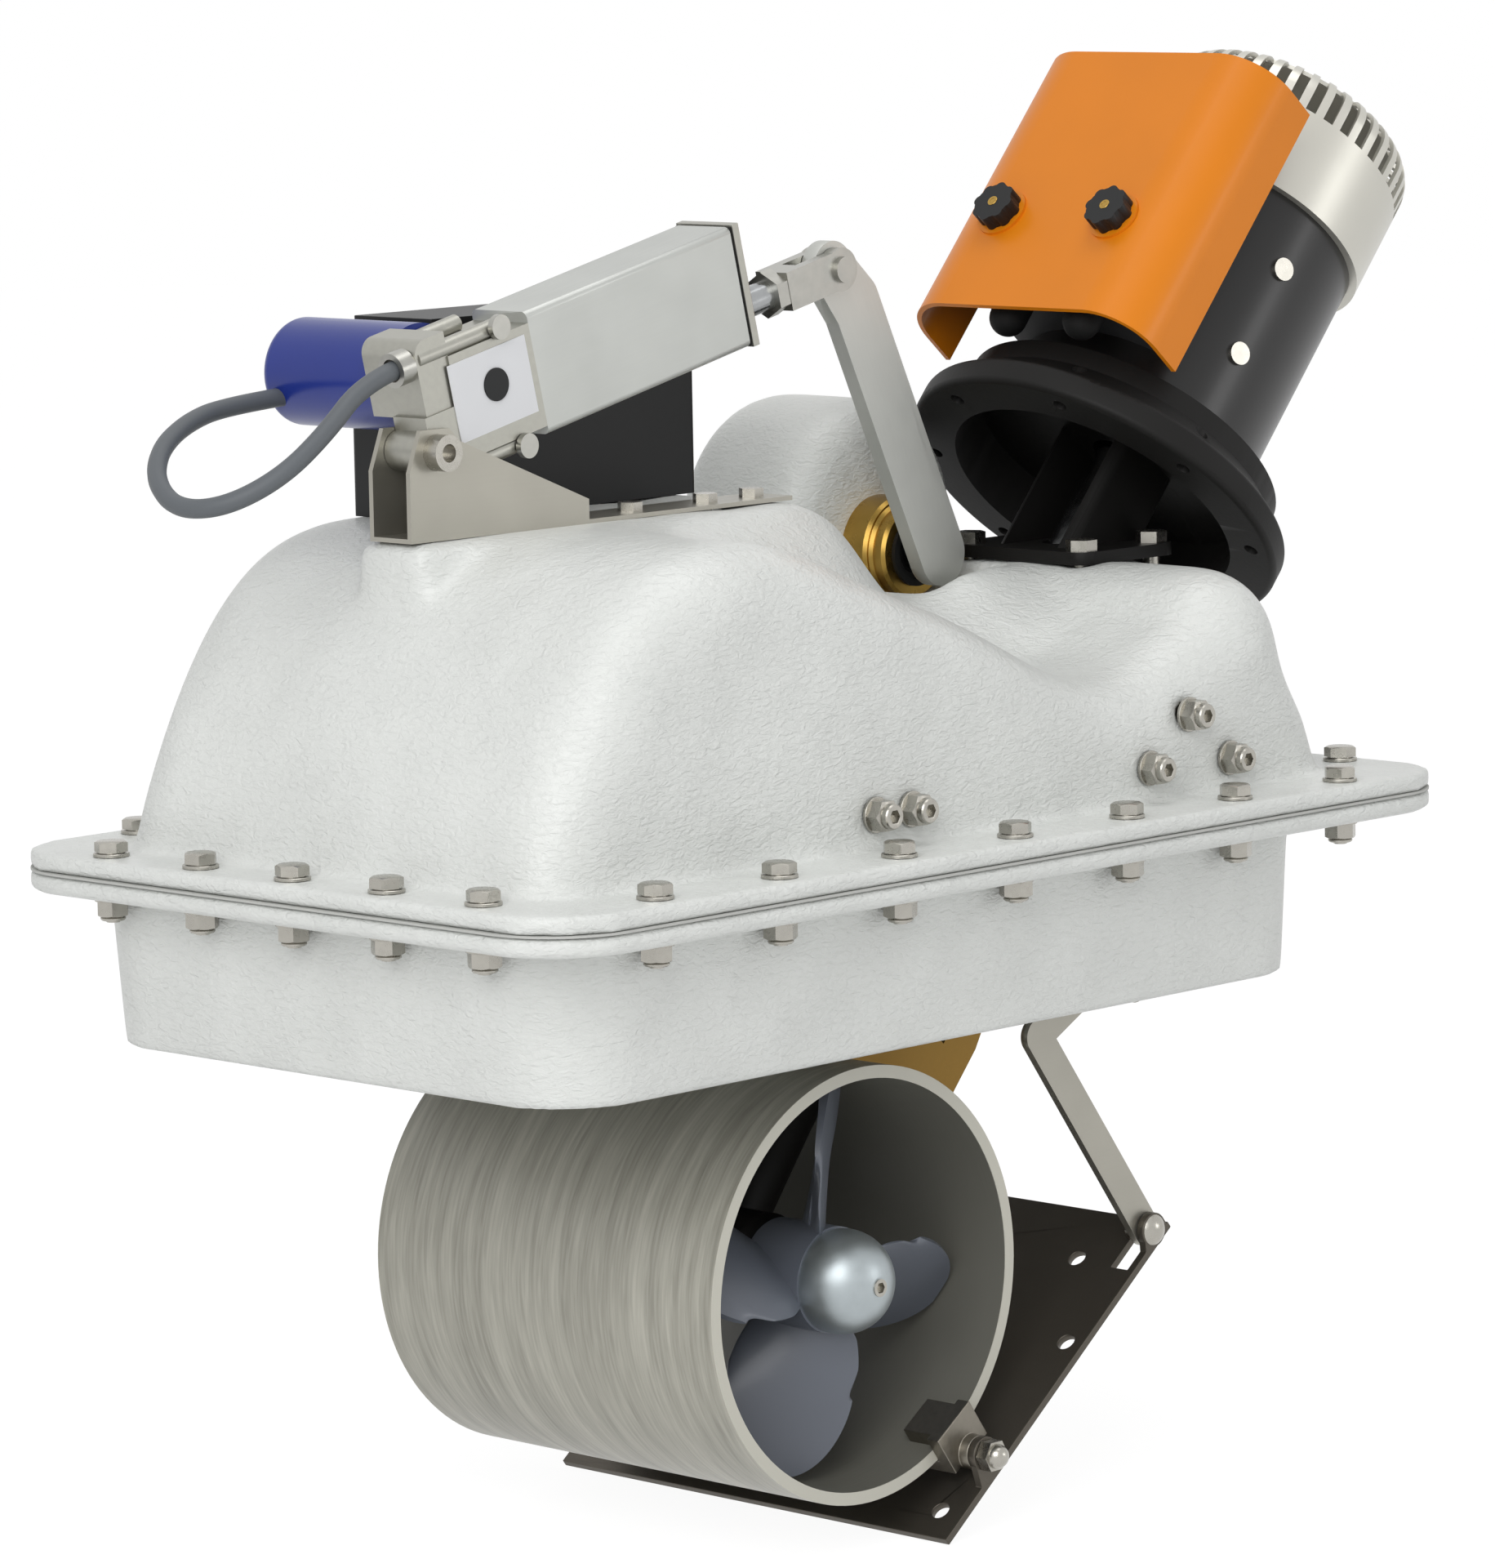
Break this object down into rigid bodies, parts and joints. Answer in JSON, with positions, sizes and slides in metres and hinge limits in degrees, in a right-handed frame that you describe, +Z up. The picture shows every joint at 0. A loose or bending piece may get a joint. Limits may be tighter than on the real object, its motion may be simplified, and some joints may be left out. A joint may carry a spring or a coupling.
{
  "type": "retractable bow thruster",
  "caption": "Retractable bow thruster: white moulded housing with bolted flange, swinging tunnel with propellers, hull hatch linkage, lever and actuator, tilted electric motor.",
  "frame": {"origin": "middle of the joint plane between the upper and lower housing flanges", "axes": "+Z up, X fore and aft along the long side of the flange with the motor towards +X, Y along the thruster tunnel with the actuator lever's dome on the +Y side"},
  "size_m": [0.7343, 0.356, 0.6532],
  "materials": {
    "aluminium": "anodised",
    "black_coat": "satin",
    "black_plastic": "fine texture",
    "blue_coat": "gloss",
    "brass": "machined",
    "bronze": "cast",
    "cable_sheath": "matt",
    "cast_grey": "cast",
    "composite": "glass-filled",
    "gasket_rubber": "matt",
    "grey_plastic": "satin",
    "label": "smooth",
    "orange_coat": "satin powder coat",
    "rubber": "matt",
    "silver_coat": "satin",
    "stainless": "brushed",
    "stainless_dark": "brushed",
    "steel": "ground",
    "tunnel_laminate": "filament wound",
    "white_gelcoat": "satin, hand-laid glass fibre",
    "zinc": "cast zinc",
    "zinc_plated": "zinc plated"
  },
  "bodies": {
    "hull_unit": {"upper_housing": "white_gelcoat", "lower_housing": "white_gelcoat", "flange_gasket": "gasket_rubber", "flange_bolts": "stainless", "flange_nuts": "stainless", "wall_bolts": "stainless", "pivot_plates": "stainless", "stop_brackets": "black_plastic", "crank_bush": "brass", "crank_seal": "rubber", "link_brackets": "stainless", "motor_bracket": "black_coat", "motor_bracket_bolts": "stainless", "shaft_seal": "rubber", "motor_body": "black_coat", "motor_fan_cowl": "silver_coat", "safety_cover": "orange_coat", "cover_knobs": "black_plastic", "terminal_block": "grey_plastic", "terminal_studs": "black_plastic", "motor_screws": "zinc_plated", "actuator_bracket": "stainless", "tail_bolt": "stainless", "bracket_bolts": "stainless", "control_box": "black_plastic", "control_box_lid": "black_plastic"},
    "swing_unit": {"swing_arm": "bronze", "gearleg": "bronze", "tunnel": "tunnel_laminate", "tunnel_clamps": "stainless_dark", "hinge_pins": "stainless"},
    "hatch": {"hatch_plate": "stainless_dark", "link_pins": "stainless"},
    "link_arms": {"link_arms": "stainless"},
    "lever": {"lever": "stainless", "crank_shaft": "steel", "inner_crank": "stainless", "crank_pin": "steel"},
    "drive_link": {"drive_link": "stainless"},
    "actuator": {"actuator_case": "aluminium", "actuator_end_cap": "cast_grey", "actuator_gasket": "gasket_rubber", "actuator_tail": "cast_grey", "actuator_label": "label", "actuator_plug": "black_plastic", "actuator_screws": "zinc_plated", "actuator_motor": "blue_coat", "cable_gland": "zinc_plated", "actuator_cable": "cable_sheath"},
    "actuator_rod": {"actuator_rod": "steel", "rod_nut": "zinc_plated", "rod_fork": "zinc_plated", "fork_pins": "zinc_plated"},
    "motor_rotor": {"motor_shaft": "steel"},
    "lower_shaft": {"lower_shaft": "steel"},
    "propellers": {"propeller_near": "composite", "propeller_far": "composite", "prop_shaft": "steel", "anodes": "zinc", "anode_screws": "stainless"}
  },
  "joints": [
    {"name": "swing_hinge", "type": "hinge", "parent": "hull_unit", "child": "swing_unit", "pos_m": [0.14829, 0, 0.0236], "axis": [0, 1, 0], "range_deg": [0, 51]},
    {"name": "hatch_hinge", "type": "hinge", "parent": "swing_unit", "child": "hatch", "pos_m": [0.01957, 0, -0.27777], "axis": [0, 1, 0], "range_deg": [-13.1, 0]},
    {"name": "link_hinge", "type": "hinge", "parent": "hatch", "child": "link_arms", "pos_m": [0.1369, 0, -0.19372], "axis": [0, 1, 0], "range_deg": [0, 68.56]},
    {"name": "lever_hinge", "type": "hinge", "parent": "hull_unit", "child": "lever", "pos_m": [0.151, 0, 0.109], "axis": [0, 1, 0], "range_deg": [0, 26.1]},
    {"name": "drive_link_hinge", "type": "hinge", "parent": "lever", "child": "drive_link", "pos_m": [0.11397, 0, 0.10045], "axis": [0, 1, 0], "range_deg": [-26.1, 0]},
    {"name": "actuator_tilt", "type": "hinge", "parent": "hull_unit", "child": "actuator", "pos_m": [-0.19, 0, 0.1835], "axis": [0, 1, 0], "range_deg": [-1, 1]},
    {"name": "rod_slide", "type": "slide", "parent": "actuator", "child": "actuator_rod", "axis": [0.9737, 0, 0.228], "range_m": [0, 0.07001]},
    {"name": "propeller_spin", "type": "hinge", "parent": "swing_unit", "child": "propellers", "pos_m": [-0.04, 0, -0.193], "axis": [0, 1, 0], "continuous": true},
    {"name": "lower_shaft_spin", "type": "hinge", "parent": "swing_unit", "child": "lower_shaft", "pos_m": [-0.04, 0, -0.193], "axis": [0.6561, 0, 0.7547], "continuous": true},
    {"name": "motor_spin", "type": "hinge", "parent": "hull_unit", "child": "motor_rotor", "pos_m": [0.14829, 0, 0.0236], "axis": [0.6561, 0, 0.7547], "continuous": true}
  ],
  "couplings": [
    {"joint": "hatch_hinge", "follows": "swing_hinge", "ratio": -0.2549},
    {"joint": "link_hinge", "follows": "swing_hinge", "ratio": 1.3423},
    {"joint": "lever_hinge", "follows": "swing_hinge", "ratio": 0.5098},
    {"joint": "drive_link_hinge", "follows": "swing_hinge", "ratio": -0.5098},
    {"joint": "actuator_tilt", "follows": "swing_hinge", "ratio": -0.0057638},
    {"joint": "rod_slide", "follows": "swing_hinge", "m_per_rad": 0.078429},
    {"joint": "lower_shaft_spin", "follows": "propeller_spin", "ratio": 1},
    {"joint": "motor_spin", "follows": "propeller_spin", "ratio": 1}
  ]
}
